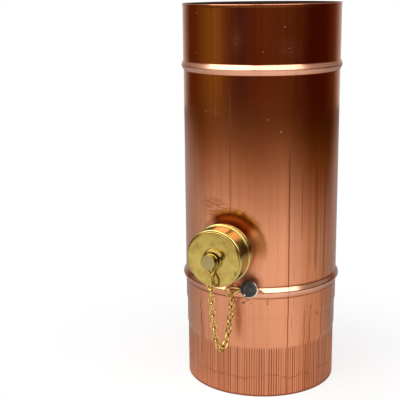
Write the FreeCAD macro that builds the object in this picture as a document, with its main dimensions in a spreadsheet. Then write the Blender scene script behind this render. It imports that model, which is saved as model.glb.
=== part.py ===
import FreeCAD, Part
import math
import os

import Sketcher

# A copper rainwater diverter for a round downpipe: a beaded sheet pipe with a drawn outlet,
# a collecting trough inside, a threaded brass outlet, and a screw cap kept by a small chain.
# Millimetres and degrees. The pipe stands on its lower rim at the origin, +Z runs up its
# axis, and the outlet points along -Y. Angles round the pipe count from -Y towards +X.

SIZES = [
    ("pipe_od", 100.0, "outside of the plain barrel"),
    ("sheet", 0.7, "copper sheet"),
    ("pipe_height", 246.0, "lower rim to upper rim"),
    ("socket_od", 100.4, "outside of the upper socket"),
    ("mouth_flare", 0.25, "how far the upper rim opens out"),
    ("mouth_length", 3.0, "height of the opened rim"),
    ("spigot_od", 98.0, "outside of the drawn-in lower end"),
    ("spigot_length", 33.5, "height of the drawn-in lower end"),
    ("collar_od", 98.9, "outside of the half step above the spigot"),
    ("collar_top", 51.0, "top of the half step"),
    ("step_rise", 3.5, "height over which the sheet changes diameter"),
    ("top_bead_z", 207.8, "height of the upper bead"),
    ("top_bead_rise", 1.5, "how far the upper bead stands out"),
    ("top_bead_round", 2.6, "radius of the upper bead's crest"),
    ("top_bead_fillet", 1.5, "radius at the upper bead's foot"),
    ("low_bead_z", 71.0, "height of the lower bead"),
    ("low_bead_rise", 1.7, "how far the lower bead stands out"),
    ("low_bead_round", 3.6, "radius of the lower bead's crest"),
    ("low_bead_fillet", 3.4, "radius at the lower bead's foot"),
    ("outlet_z", 98.0, "height of the outlet axis"),
    ("neck_od", 34.0, "outside of the drawn neck"),
    ("neck_reach", 57.5, "pipe axis to the lip of the neck"),
    ("neck_fillet", 5.0, "outer radius where the neck is drawn out of the wall"),
    ("solder_gap", 0.05, "room for solder between soldered pieces"),
    ("trough_foot", 57.5, "lower edge of the trough's rim"),
    ("trough_rim", 7.0, "height of the rim soldered to the wall"),
    ("weir_od", 72.0, "outside of the inner wall of the trough"),
    ("weir_top", 122.0, "overflow edge of the trough"),
    ("nipple_tail", 4.0, "length of the outlet soldered into the neck"),
    ("nipple_bore", 25.0, "clear bore of the outlet"),
    ("flange_od", 35.4, "shoulder of the outlet"),
    ("flange_thickness", 1.8, "thickness of that shoulder"),
    ("thread_od", 33.25, "outside of the one-inch pipe thread"),
    ("thread_length", 12.4, "shoulder to the end of the thread"),
    ("thread_room", 0.3, "radial room between thread and cap"),
    ("gasket_thickness", 1.5, "flat rubber washer in the cap"),
    ("gasket_width", 3.6, "radial width of the washer"),
    ("cap_od", 35.9, "outside of the cap"),
    ("cap_length", 14.2, "rear edge to front face"),
    ("cap_plate", 2.5, "thickness of the cap's front"),
    ("cap_chamfer", 0.8, "chamfer of the front edge"),
    ("cap_ring_od", 37.4, "outside of the ring at the rear edge"),
    ("cap_ring_width", 2.2, "width of that ring"),
    ("cap_ring_chamfer", 0.5, "chamfers of that ring"),
    ("knob_foot_od", 12.6, "outside of the knob's foot"),
    ("knob_foot_height", 2.0, "height of the foot"),
    ("knob_foot_round", 1.5, "rounding of the foot"),
    ("knob_neck_od", 6.4, "groove that takes the loop"),
    ("knob_neck_length", 3.2, "width of the groove"),
    ("knob_od", 9.2, "outside of the knob"),
    ("knob_length", 2.5, "length of the knob"),
    ("knob_chamfer", 0.4, "chamfer of the knob"),
    ("rivet_angle", 14.6, "place of the rivet round the pipe"),
    ("rivet_z", 74.0, "height of the rivet"),
    ("rivet_shank_od", 4.0, "shank of the rivet"),
    ("rivet_head_od", 11.0, "head of the rivet"),
    ("rivet_head_height", 2.0, "thickness of the head"),
    ("rivet_head_chamfer", 0.6, "chamfer of the head"),
    ("rivet_tail_od", 6.8, "closed end of the rivet inside the pipe"),
    ("rivet_tail_height", 1.4, "thickness of the closed end"),
    ("rivet_tail_room", 0.2, "closed end to the curved wall"),
    ("rivet_hole_room", 0.1, "radial room round the shank"),
    ("seat_od", 15.0, "flat that is pressed into the lower bead under the rivet"),
    ("seat_rise", 0.4, "how far that flat stands out from the barrel"),
    ("head_standoff", 3.4, "flat to the underside of the head"),
    ("loop_wire", 1.2, "wire of the two figure-eight loops"),
    ("loop_cross_room", 0.15, "room between the crossed wires of a loop"),
    ("loop_end_radius", 2.4, "free eye of a loop, to the middle of the wire"),
    ("loop_hang_room", 0.35, "room between a loop and what carries it"),
    ("cap_loop_radius", 4.4, "eye round the knob, to the middle of the wire"),
    ("cap_loop_span", 15.8, "distance between the eyes of the cap's loop"),
    ("cap_loop_leave_angle", 62.0, "angle where the cap's loop leaves its round eye"),
    ("wall_loop_radius", 3.2, "eye round the rivet, to the middle of the wire"),
    ("wall_loop_span", 13.4, "distance between the eyes of the wall's loop"),
    ("wall_loop_leave_angle", 66.0, "angle where the wall's loop leaves its round eye"),
    ("wall_loop_turn_angle", 101.0, "which way the wall's loop points, from straight up"),
    ("wall_loop_tilt_angle", 5.0, "how far its free end is bent away from the pipe"),
    ("wall_loop_height", 1.65, "flat to the middle of the wall loop's wire"),
    ("link_wire", 0.88, "wire of the chain"),
    ("link_pitch", 4.4, "distance from joint to joint in the chain"),
    ("link_width", 4.3, "outside width of a link"),
    ("link_room", 0.5, "play between two links"),
    ("link_roll_angle", -22.0, "how the first link is turned about the chain"),
    ("chain_twist_angle", 22.0, "how far the chain is twisted from end to end"),
]

LINK_COUNT = 19
WALL_HANG_SHARE = 0.87
WIRE_SIDES = 8
EYE_STEPS = 12
END_STEPS = 5
STRAND_STEPS = 6
LINK_END_STEPS = 5
OVERRUN = 1.0
BISECTIONS = 50

document = FreeCAD.newDocument("rainwater_diverter")
sheet = document.addObject("Spreadsheet::Sheet", "Sizes")
for row, (alias, value, meaning) in enumerate(SIZES, start=1):
    sheet.set("A%d" % row, alias)
    sheet.set("B%d" % row, str(value))
    sheet.set("C%d" % row, meaning)
    sheet.setAlias("B%d" % row, alias)
document.recompute()


class Size:
    """A length worked out from the sheet: its number, and the expression that binds it."""

    def __init__(self, number, text):
        self.number = float(number)
        self.text = text

    def joined(self, sign, other, number):
        return Size(number, "(%s %s %s)" % (self.text, sign, other.text))

    def __add__(self, other):
        other = as_size(other)
        return self.joined("+", other, self.number + other.number)

    def __sub__(self, other):
        other = as_size(other)
        return self.joined("-", other, self.number - other.number)

    def __mul__(self, other):
        other = as_size(other)
        return self.joined("*", other, self.number * other.number)

    def __truediv__(self, other):
        other = as_size(other)
        return self.joined("/", other, self.number / other.number)

    def root(self):
        return Size(math.sqrt(self.number), "sqrt(%s)" % self.text)


def as_size(value):
    if isinstance(value, Size):
        return value
    return Size(value, repr(float(value)))


def size(alias):
    return Size(sheet.get(alias), "Sizes." + alias)


def half(alias):
    return size(alias) / 2


def number(alias):
    return float(sheet.get(alias))


def bind(item, prop, length):
    item.setExpression(prop, length.text)


NOTHING = as_size(0)


# Sketches and bodies

def origin_plane(body, role):
    for feature in body.Origin.OriginFeatures:
        if feature.Role == role:
            return feature
    raise ValueError("no plane " + role)


def new_sketch(body, name, role="XZ_Plane"):
    sketch = body.newObject("Sketcher::SketchObject", name)
    sketch.AttachmentSupport = [(origin_plane(body, role), "")]
    sketch.MapMode = "FlatFace"
    return sketch


def hold(sketch, kind, item, length):
    index = sketch.addConstraint(Sketcher.Constraint(kind, *item, length.number))
    sketch.setExpression("Constraints[%d]" % index, length.text)


def hold_point(sketch, curve, end, across, along):
    """Fixes one end of a curve at two lengths from the sketch's origin."""
    if across.number == 0:
        sketch.addConstraint(Sketcher.Constraint("PointOnObject", curve, end, -2))
    else:
        hold(sketch, "DistanceX", (-1, 1, curve, end), across)
    if along.number == 0:
        sketch.addConstraint(Sketcher.Constraint("PointOnObject", curve, end, -1))
    else:
        hold(sketch, "DistanceY", (-1, 1, curve, end), along)


def arc_between(first, second, radius, side):
    """The short arc from first to second; side 1 bulges right of the way, -1 left of it."""
    chord = second - first
    reach = math.sqrt(max(radius ** 2 - chord.Length ** 2 / 4, 0))
    left = FreeCAD.Vector(-chord.y, chord.x, 0).normalize()
    centre = (first + second) / 2 + left * reach * side
    start, stop = (first, second) if side > 0 else (second, first)
    angles = [math.atan2(p.y - centre.y, p.x - centre.x) for p in (start, stop)]
    circle = Part.Circle(centre, FreeCAD.Vector(0, 0, 1), radius)
    return Part.ArcOfCircle(circle, angles[0], angles[1])


def draw_profile(body, name, corners, bends=None):
    """A closed outline of lines, with arcs on the edges that bends names by number."""
    bends = bends or {}
    sketch = new_sketch(body, name)
    places = [FreeCAD.Vector(across.number, along.number, 0) for across, along in corners]
    starts = []
    ends = []
    for edge, first in enumerate(places):
        second = places[(edge + 1) % len(places)]
        if edge in bends:
            radius, side = bends[edge]
            curve = sketch.addGeometry(arc_between(first, second, radius.number, side))
            hold(sketch, "Radius", (curve,), radius)
            starts.append((curve, 1 if side > 0 else 2))
            ends.append((curve, 2 if side > 0 else 1))
        else:
            curve = sketch.addGeometry(Part.LineSegment(first, second))
            starts.append((curve, 1))
            ends.append((curve, 2))
    for edge, start in enumerate(starts):
        sketch.addConstraint(Sketcher.Constraint("Coincident", *ends[edge - 1], *start))
        hold_point(sketch, *start, *corners[edge])
    return sketch


def new_body(label):
    body = document.addObject("PartDesign::Body", label)
    body.Label = label
    return body


def revolve(body, sketch):
    turned = body.newObject("PartDesign::Revolution", sketch.Name + "_turned")
    turned.Profile = sketch
    turned.ReferenceAxis = (sketch, ["V_Axis"])
    turned.Angle = 360
    return turned


def along_outlet(item):
    """Lays a piece turned about Z on the outlet axis, its Z pointing out of the pipe."""
    item.Placement = FreeCAD.Placement(
        FreeCAD.Vector(0, 0, number("outlet_z")), FreeCAD.Rotation(FreeCAD.Vector(1, 0, 0), 90)
    )
    bind(item, "Placement.Base.z", size("outlet_z"))


def rivet_rotation():
    """Turns a piece's Z from straight up to straight out of the wall at the rivet."""
    round_pipe = FreeCAD.Rotation(FreeCAD.Vector(0, 0, 1), number("rivet_angle"))
    return round_pipe.multiply(FreeCAD.Rotation(FreeCAD.Vector(1, 0, 0), 90))


def along_rivet(item):
    item.Placement = FreeCAD.Placement(FreeCAD.Vector(0, 0, number("rivet_z")), rivet_rotation())
    bind(item, "Placement.Base.z", size("rivet_z"))


# Pipe

def bead(name, wall, inset):
    """Corners and bends of a bead pressed out of the wall, seen on its outside less inset."""
    rise = size(name + "_rise")
    crest = size(name + "_round")
    centres = crest + size(name + "_fillet")
    reach = (centres * rise * 2 - rise * rise).root()
    top = crest - inset
    share = top / centres
    middle = size(name + "_z")
    meet = wall + rise - share * rise
    corners = [
        (wall, middle - reach),
        (meet, middle - reach * share),
        (meet, middle + reach * share),
        (wall, middle + reach),
    ]
    foot = size(name + "_fillet") + inset
    return corners, [(foot, -1), (top, 1), (foot, -1)]


def pipe_solid(label, inset, overrun):
    """The pipe filled solid, inset from its outside, with its neck and the neck's fillet."""
    body = new_body(label)
    wall = half("pipe_od") - inset
    spigot = half("spigot_od") - inset
    collar = half("collar_od") - inset
    socket = half("socket_od") - inset
    mouth = socket + size("mouth_flare")
    low_corners, low_bends = bead("low_bead", wall, inset)
    top_corners, top_bends = bead("top_bead", wall, inset)
    rise = size("step_rise")
    corners = [
        (NOTHING, NOTHING - overrun),
        (spigot, NOTHING - overrun),
        (spigot, size("spigot_length")),
        (collar, size("spigot_length") + rise),
        (collar, size("collar_top")),
        (wall, size("collar_top") + rise),
    ]
    first_low = len(corners)
    corners += low_corners
    first_top = len(corners)
    corners += top_corners
    corners += [
        (socket, top_corners[-1][1] + rise),
        (socket, size("pipe_height") - size("mouth_length")),
        (mouth, size("pipe_height")),
    ]
    if overrun.number > 0:
        corners.append((mouth, size("pipe_height") + overrun))
    corners.append((NOTHING, size("pipe_height") + overrun))
    bends = {first_low + step: bend for step, bend in enumerate(low_bends)}
    bends.update({first_top + step: bend for step, bend in enumerate(top_bends)})
    revolve(body, draw_profile(body, label + "_profile", corners, bends))

    neck_radius = half("neck_od") - inset
    circle = new_sketch(body, label + "_neck_circle")
    curve = circle.addGeometry(
        Part.Circle(FreeCAD.Vector(0, number("outlet_z"), 0), FreeCAD.Vector(0, 0, 1), neck_radius.number)
    )
    hold(circle, "Radius", (curve,), neck_radius)
    hold_point(circle, curve, 3, NOTHING, size("outlet_z"))
    neck = body.newObject("PartDesign::Pad", label + "_neck")
    neck.Profile = circle
    bind(neck, "Length", size("neck_reach") + overrun)
    document.recompute()

    drawn = body.newObject("PartDesign::Fillet", label + "_neck_fillet")
    drawn.Base = (neck, meeting_edges(neck.Shape, wall.number, neck_radius.number))
    bind(drawn, "Radius", size("neck_fillet") + inset)
    document.recompute()
    return body


def meeting_edges(shape, wall, neck):
    """Names of the edges that lie on the barrel and on the outlet's neck."""
    names = []
    for index, edge in enumerate(shape.Edges, start=1):
        points = edge.discretize(7)
        on_wall = all(abs(math.hypot(p.x, p.y) - wall) < 0.01 for p in points)
        on_neck = all(abs(math.hypot(p.x, p.z - number("outlet_z")) - neck) < 0.01 for p in points)
        if on_wall and on_neck and points[0].y < 0:
            names.append("Edge%d" % index)
    return names


def cylinder(label, radius, start, length):
    """A cylinder on the rivet's axis, from start to start plus length from the pipe's axis."""
    item = document.addObject("Part::Cylinder", label)
    bind(item, "Radius", radius)
    bind(item, "Height", length)
    rotation = rivet_rotation()
    out = rotation.multVec(FreeCAD.Vector(0, 0, 1))
    item.Placement = FreeCAD.Placement(
        FreeCAD.Vector(0, 0, number("rivet_z")) + out * start.number, rotation
    )
    return item


def cut(label, base, tool):
    item = document.addObject("Part::Cut", label)
    item.Base = base
    item.Tool = tool
    item.Label = label
    return item


def seat_face():
    return half("pipe_od") + size("seat_rise")


def make_pipe():
    sheet_size = size("sheet")
    outside = pipe_solid("pipe_outside", NOTHING, NOTHING)
    inside = pipe_solid("pipe_inside", sheet_size, as_size(OVERRUN))
    reach = size("low_bead_rise") + sheet_size + as_size(OVERRUN)
    outer_flat = cylinder("seat_outside", half("seat_od"), seat_face(), reach)
    inner_flat = cylinder("seat_inside", half("seat_od") + sheet_size, seat_face() - sheet_size, reach)
    hole_radius = half("rivet_shank_od") + size("rivet_hole_room")
    hole = cylinder("rivet_hole", hole_radius, half("pipe_od") - reach, reach * 2)
    shell = cut(
        "pipe_shell",
        cut("pipe_outside_flat", outside, outer_flat),
        cut("pipe_inside_flat", inside, inner_flat),
    )
    return cut("pipe_body", shell, hole)


# Trough inside the pipe

def make_trough():
    body = new_body("collector_trough")
    sheet_size = size("sheet")
    rim = half("pipe_od") - sheet_size - size("solder_gap")
    foot = size("trough_foot")
    floor = foot + size("trough_rim")
    weir = half("weir_od")
    corners = [
        (rim, foot),
        (rim, floor),
        (weir, floor),
        (weir, size("weir_top")),
        (weir - sheet_size, size("weir_top")),
        (weir - sheet_size, floor - sheet_size),
        (rim - sheet_size, floor - sheet_size),
        (rim - sheet_size, foot),
    ]
    revolve(body, draw_profile(body, "trough_profile", corners))
    return body


# Outlet, washer and cap, all turned about the outlet axis

def shoulder_front():
    return size("neck_reach") + size("flange_thickness")


def thread_end():
    return shoulder_front() + size("thread_length")


def cap_front():
    return thread_end() + size("gasket_thickness") + size("cap_plate")


def cap_bore():
    return half("thread_od") + size("thread_room")


def make_nipple():
    body = new_body("outlet_nipple")
    tail = half("neck_od") - size("sheet") - size("solder_gap")
    bore = half("nipple_bore")
    corners = [
        (bore, size("neck_reach") - size("nipple_tail")),
        (tail, size("neck_reach") - size("nipple_tail")),
        (tail, size("neck_reach")),
        (half("flange_od"), size("neck_reach")),
        (half("flange_od"), shoulder_front()),
        (half("thread_od"), shoulder_front()),
        (half("thread_od"), thread_end()),
        (bore, thread_end()),
    ]
    revolve(body, draw_profile(body, "nipple_profile", corners))
    along_outlet(body)
    return body


def make_gasket():
    body = new_body("cap_gasket")
    outside = cap_bore() - size("thread_room")
    inside = outside - size("gasket_width")
    front = thread_end() + size("gasket_thickness")
    corners = [(inside, thread_end()), (outside, thread_end()), (outside, front), (inside, front)]
    revolve(body, draw_profile(body, "gasket_profile", corners))
    along_outlet(body)
    return body


def knob_groove():
    return cap_front() + size("knob_foot_height")


def make_cap():
    body = new_body("screw_cap")
    front = cap_front()
    rear = front - size("cap_length")
    ring = half("cap_ring_od")
    ring_front = rear + size("cap_ring_width")
    ring_edge = size("cap_ring_chamfer")
    side = half("cap_od")
    chamfer = size("cap_chamfer")
    foot = half("knob_foot_od")
    foot_round = size("knob_foot_round")
    neck = half("knob_neck_od")
    groove = knob_groove()
    knob_rear = groove + size("knob_neck_length")
    knob_front = knob_rear + size("knob_length")
    knob_edge = size("knob_chamfer")
    knob = half("knob_od")
    bore_end = front - size("cap_plate")
    corners = [
        (cap_bore(), rear),
        (ring - ring_edge, rear),
        (ring, rear + ring_edge),
        (ring, ring_front - ring_edge),
        (ring - ring_edge, ring_front),
        (side, ring_front),
        (side, front - chamfer),
        (side - chamfer, front),
        (foot, front),
        (foot, groove - foot_round),
        (foot - foot_round, groove),
        (neck, groove),
        (neck, knob_rear),
        (knob, knob_rear),
        (knob, knob_front - knob_edge),
        (knob - knob_edge, knob_front),
        (NOTHING, knob_front),
        (NOTHING, bore_end),
        (cap_bore(), bore_end),
    ]
    revolve(body, draw_profile(body, "cap_profile", corners, {9: (foot_round, 1)}))
    along_outlet(body)
    return body


# Rivet that holds the chain to the wall

def make_rivet():
    body = new_body("chain_rivet")
    shank = half("rivet_shank_od")
    head = half("rivet_head_od")
    tail = half("rivet_tail_od")
    edge = size("rivet_head_chamfer")
    inner_wall = half("pipe_od") - size("sheet")
    tail_front = (inner_wall * inner_wall - tail * tail).root() - size("rivet_tail_room")
    tail_rear = tail_front - size("rivet_tail_height")
    under_head = seat_face() + size("head_standoff")
    head_front = under_head + size("rivet_head_height")
    corners = [
        (NOTHING, tail_rear),
        (tail, tail_rear),
        (tail, tail_front),
        (shank, tail_front),
        (shank, under_head),
        (head, under_head),
        (head, head_front - edge),
        (head - edge, head_front),
        (NOTHING, head_front),
    ]
    revolve(body, draw_profile(body, "rivet_profile", corners))
    along_rivet(body)
    return body


# Wire: closed runs of straight eight-sided wire, mitred at every corner

def wire_rings(path, wire, upright):
    """One ring of corners at each point of a closed path, lying in the mitre there."""
    rings = []
    for index, point in enumerate(path):
        before = (point - path[index - 1]).normalize()
        after = (path[(index + 1) % len(path)] - point).normalize()
        along = (before + after).normalize()
        stretch = 1 / along.dot(before)
        out = (upright - along * upright.dot(along)).normalize()
        across = along.cross(out)
        ring = []
        for side in range(WIRE_SIDES):
            angle = 2 * math.pi * (side + 0.5) / WIRE_SIDES
            offset = across * math.cos(angle) * stretch + out * math.sin(angle)
            ring.append(point + offset * wire / 2)
        rings.append(ring)
    return rings


def wire_solid(path, wire, upright, flat):
    """A closed wire. A flat path has four-sided facets, any other path has triangles."""
    rings = wire_rings(path, wire, upright)
    faces = []
    for index, ring in enumerate(rings):
        following = rings[(index + 1) % len(rings)]
        for side in range(WIRE_SIDES):
            beside = (side + 1) % WIRE_SIDES
            corners = [ring[side], ring[beside], following[beside], following[side]]
            outlines = [corners] if flat else [corners[:3], [corners[0]] + corners[2:]]
            for outline in outlines:
                faces.append(Part.Face(Part.makePolygon(outline + outline[:1])))
    solid = Part.Solid(Part.Shell(faces))
    if solid.Volume < 0:
        solid.reverse()
    return solid


def add_wire(label, path, wire, upright, flat):
    item = document.addObject("Part::Feature", label)
    item.Shape = wire_solid(path, wire, upright, flat)
    item.Label = label
    return item


def strand_point(share, start, leaving, finish, arriving):
    """A point on the smooth strand between the eyes of a loop."""
    rest = 1 - share
    first = start + leaving
    second = finish - arriving
    near = start * rest ** 3 + first * 3 * rest ** 2 * share
    far = second * 3 * rest * share ** 2 + finish * share ** 3
    return near + far


class Loop:
    """A figure-eight of wire: a round eye at the origin and a free eye along local X.

    front is the side, 1 or -1, whose strand leaves the round eye and crosses in front.
    """

    def __init__(self, radius, span, leave, front, origin, along, out):
        self.wire = number("loop_wire")
        self.radius = radius
        self.end = number("loop_end_radius")
        self.span = span
        self.leave = math.radians(leave)
        self.origin = origin
        self.along = along
        self.out = out
        self.across = out.cross(along)
        self.step_out = (self.wire + number("loop_cross_room")) / 2 * front

    def place(self, flat):
        return self.origin + self.along * flat.x + self.across * flat.y + self.out * flat.z

    def strand(self, share, side):
        """A strand from the round eye on one side to the free eye on the other."""
        start = FreeCAD.Vector(math.cos(self.leave), math.sin(self.leave) * side, 0) * self.radius
        leaving = FreeCAD.Vector(math.sin(self.leave), -math.cos(self.leave) * side, 0)
        finish = FreeCAD.Vector(self.span, -self.end * side, 0)
        arriving = FreeCAD.Vector(1, 0, 0)
        length = (finish - start).Length / 3
        flat = strand_point(share, start, leaving * length, finish, arriving * length)
        apart = self.step_out * math.sin(math.pi * share) ** 2 * side
        return flat + FreeCAD.Vector(0, 0, apart / math.sin(math.pi * self.crossing()) ** 2)

    def crossing(self):
        """The share of a strand at which it crosses the line between the eyes."""
        low, high = 0.0, 1.0
        start = self.radius * math.sin(self.leave)
        span = self.span - self.radius * math.cos(self.leave)
        length = math.hypot(span, start + self.end) / 3
        fall = math.cos(self.leave) * length
        for _ in range(BISECTIONS):
            share = (low + high) / 2
            rest = 1 - share
            across = start * rest ** 3 + (start - fall) * 3 * rest ** 2 * share
            across -= self.end * (3 * rest * share ** 2 + share ** 3)
            if across > 0:
                low = share
            else:
                high = share
        return low

    def path(self):
        points = []
        turn = 2 * math.pi - 2 * self.leave
        for step in range(EYE_STEPS):
            angle = self.leave + turn * step / EYE_STEPS
            points.append(FreeCAD.Vector(math.cos(angle), math.sin(angle), 0) * self.radius)
        for step in range(STRAND_STEPS):
            points.append(self.strand(step / STRAND_STEPS, -1))
        for step in range(END_STEPS):
            angle = math.pi / 2 - math.pi * step / END_STEPS
            round_end = FreeCAD.Vector(math.cos(angle), math.sin(angle), 0) * self.end
            points.append(FreeCAD.Vector(self.span, 0, 0) + round_end)
        for step in range(STRAND_STEPS):
            points.append(self.strand(1 - step / STRAND_STEPS, 1))
        return [self.place(point) for point in points]


def cap_loop():
    """The loop hangs in the knob's groove, its round eye just clear of the groove's top."""
    middle = knob_groove().number + number("knob_neck_length") / 2
    drop = number("cap_loop_radius") - number("loop_wire") / 2 - number("loop_hang_room")
    drop -= number("knob_neck_od") / 2
    return Loop(
        number("cap_loop_radius"),
        number("cap_loop_span"),
        number("cap_loop_leave_angle"),
        1,
        FreeCAD.Vector(0, -middle, number("outlet_z") - drop),
        FreeCAD.Vector(0, 0, -1),
        FreeCAD.Vector(0, -1, 0),
    )


def wall_loop():
    """The loop lies round the rivet's shank and points sideways under the cap."""
    rotation = rivet_rotation()
    height = seat_face().number + number("wall_loop_height")
    centre = FreeCAD.Vector(0, 0, number("rivet_z")) + rotation.multVec(FreeCAD.Vector(0, 0, height))
    turn = FreeCAD.Rotation(FreeCAD.Vector(0, 0, 1), 90 + number("wall_loop_turn_angle"))
    tilt = FreeCAD.Rotation(FreeCAD.Vector(0, 1, 0), -number("wall_loop_tilt_angle"))
    turned = rotation.multiply(turn).multiply(tilt)
    return Loop(
        number("wall_loop_radius"),
        number("wall_loop_span"),
        number("wall_loop_leave_angle"),
        -1,
        centre,
        turned.multVec(FreeCAD.Vector(1, 0, 0)),
        turned.multVec(FreeCAD.Vector(0, 0, 1)),
    )


# Chain

def hanging_slopes(count, pitch, run, rise):
    """Slopes of equal links hung between two points: they grow evenly along the chain."""

    def totals(growth, lowest):
        slopes = [growth * (index - lowest) for index in range(count)]
        lengths = [pitch / math.hypot(1, slope) for slope in slopes]
        return slopes, sum(lengths), sum(a * b for a, b in zip(lengths, slopes))

    def balanced(growth):
        low, high = -count, 2 * count
        for _ in range(BISECTIONS):
            lowest = (low + high) / 2
            if totals(growth, lowest)[2] > rise:
                low = lowest
            else:
                high = lowest
        return totals(growth, low)

    low, high = 0.0, 20.0
    for _ in range(BISECTIONS):
        growth = (low + high) / 2
        if balanced(growth)[1] > run:
            low = growth
        else:
            high = growth
    return balanced(low)[0]


def chain_joints():
    """The points where link meets link, from the cap's loop to the wall's loop."""
    lift = FreeCAD.Vector(0, 0, number("loop_wire") / 2 + number("loop_hang_room"))
    upper = cap_loop()
    lower = wall_loop()
    start = upper.place(FreeCAD.Vector(upper.span + upper.end, 0, 0)) + lift
    finish = lower.place(lower.strand(WALL_HANG_SHARE, -1)) + lift
    level = FreeCAD.Vector(finish.x - start.x, finish.y - start.y, 0)
    run = level.Length
    pitch = number("link_pitch")
    joints = [start]
    for slope in hanging_slopes(LINK_COUNT, pitch, run, finish.z - start.z):
        step = FreeCAD.Vector(level.x / run, level.y / run, slope).normalize() * pitch
        joints.append(joints[-1] + step)
    return joints, level.normalize()


def link_path(start, finish, face):
    """An oval link between two joints, its flat side facing along face."""
    along = (finish - start).normalize()
    side = face.cross(along)
    middle = (start + finish) / 2
    bend = (number("link_width") - number("link_wire")) / 2
    half_length = ((finish - start).Length + number("link_wire") + number("link_room")) / 2
    points = []
    for end in (1, -1):
        for step in range(LINK_END_STEPS + 1):
            angle = math.pi * (step / LINK_END_STEPS - 0.5)
            forward = half_length - bend + bend * math.cos(angle)
            points.append(middle + along * end * forward + side * end * bend * math.sin(angle))
    return points


def make_chain():
    joints, level = chain_joints()
    sideways = level.cross(FreeCAD.Vector(0, 0, 1))
    links = []
    for index in range(LINK_COUNT):
        along = (joints[index + 1] - joints[index]).normalize()
        twist = number("link_roll_angle") + number("chain_twist_angle") * index / (LINK_COUNT - 1)
        face = FreeCAD.Rotation(along, twist + 90 * index).multVec(sideways)
        path = link_path(joints[index], joints[index + 1], face)
        links.append(add_wire("chain_link_%02d" % (index + 1), path, number("link_wire"), face, True))
    return links


def make_loop(label, loop):
    return add_wire(label, loop.path(), loop.wire, loop.out, False)


pieces = [
    make_pipe(),
    make_trough(),
    make_nipple(),
    make_gasket(),
    make_cap(),
    make_rivet(),
    make_loop("cap_loop", cap_loop()),
    make_loop("wall_loop", wall_loop()),
]
pieces += make_chain()
document.recompute()

for item in document.Objects:
    if "Invalid" in item.State or "Error" in item.State:
        raise ValueError(item.Label + " did not compute")

os.makedirs("parts", exist_ok=True)
for piece in pieces:
    if piece.Shape.isNull() or not piece.Shape.isValid():
        raise ValueError(piece.Label + " has no valid shape")
    piece.Shape.exportStep("parts/" + piece.Label + ".step")
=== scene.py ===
"""Looks of a copper rainwater diverter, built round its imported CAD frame."""

import math
from collections import namedtuple

import bmesh
import bpy
from mathutils import Matrix, Vector, noise


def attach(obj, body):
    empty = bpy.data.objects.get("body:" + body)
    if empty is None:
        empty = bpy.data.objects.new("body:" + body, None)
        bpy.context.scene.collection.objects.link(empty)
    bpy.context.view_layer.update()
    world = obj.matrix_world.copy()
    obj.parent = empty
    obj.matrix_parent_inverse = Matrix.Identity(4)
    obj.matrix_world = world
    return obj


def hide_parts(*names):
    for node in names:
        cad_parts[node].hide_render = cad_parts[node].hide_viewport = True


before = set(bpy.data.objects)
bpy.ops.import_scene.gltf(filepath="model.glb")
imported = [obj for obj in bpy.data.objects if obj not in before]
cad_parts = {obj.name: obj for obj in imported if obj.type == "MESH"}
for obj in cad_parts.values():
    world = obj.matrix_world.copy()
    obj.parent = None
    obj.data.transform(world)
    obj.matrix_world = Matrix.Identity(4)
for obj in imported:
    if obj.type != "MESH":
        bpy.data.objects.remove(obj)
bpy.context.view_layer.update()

# Sizes of the pipe in millimetres
MM = 0.001
PIPE_RADIUS = 50.0
PIPE_HEIGHT = 246.0
SHEET = 0.7
RIM_ROUND = 0.16
SOCKET_RADIUS = 50.2
MOUTH_FLARE = 0.25
MOUTH_LENGTH = 3.0
SPIGOT_RADIUS = 49.0
SPIGOT_LENGTH = 33.5
COLLAR_RADIUS = 49.45
COLLAR_TOP = 51.0
STEP_RISE = 3.5
OUTLET_Z = 98.0
NECK_RADIUS = 17.0
NECK_REACH = 57.5
NECK_FILLET = 5.0
NECK_FOOT = NECK_RADIUS + NECK_FILLET
FLUTES = 196
FLUTE_DEPTH = 0.5

# Beads with a tighter crest than the CAD part's, in millimetres, and their flanks' slope in degrees
Bead = namedtuple("Bead", "middle rise crest fillet slope")
LOW_BEAD = Bead(70.2, 1.7, 2.0, 0.8, 32.0)
TOP_BEAD = Bead(207.8, 1.4, 1.2, 0.9, 27.0)

# The rivet and the flat under it
RIVET_ANGLE = math.radians(14.6)
RIVET_Z = 74.0
RIVET_ACROSS = PIPE_RADIUS * RIVET_ANGLE
RIVET_OUT = Vector((math.sin(RIVET_ANGLE), -math.cos(RIVET_ANGLE), 0.0))
RIVET_SIDE = Vector((math.cos(RIVET_ANGLE), math.sin(RIVET_ANGLE), 0.0))
SEAT_FLAT = 6.0
SEAT_EDGE = 9.5
SEAT_FACE = 50.4

# The outlet's thread
THREAD_PITCH = 2.309
THREAD_RADIUS = 16.625
THREAD_DEPTH = 1.15
THREAD_START = 59.3
THREAD_END = 71.7

# The chain, its wires and the share of a wire's radius that it grows by before it is rounded
LINKS = 19
UPPER_LINKS = 11
LOOP_WIRE = 1.2
LINK_WIRE = 0.88
LOOP_GROWTH = 0.2
LINK_GROWTH = 0.34

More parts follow.
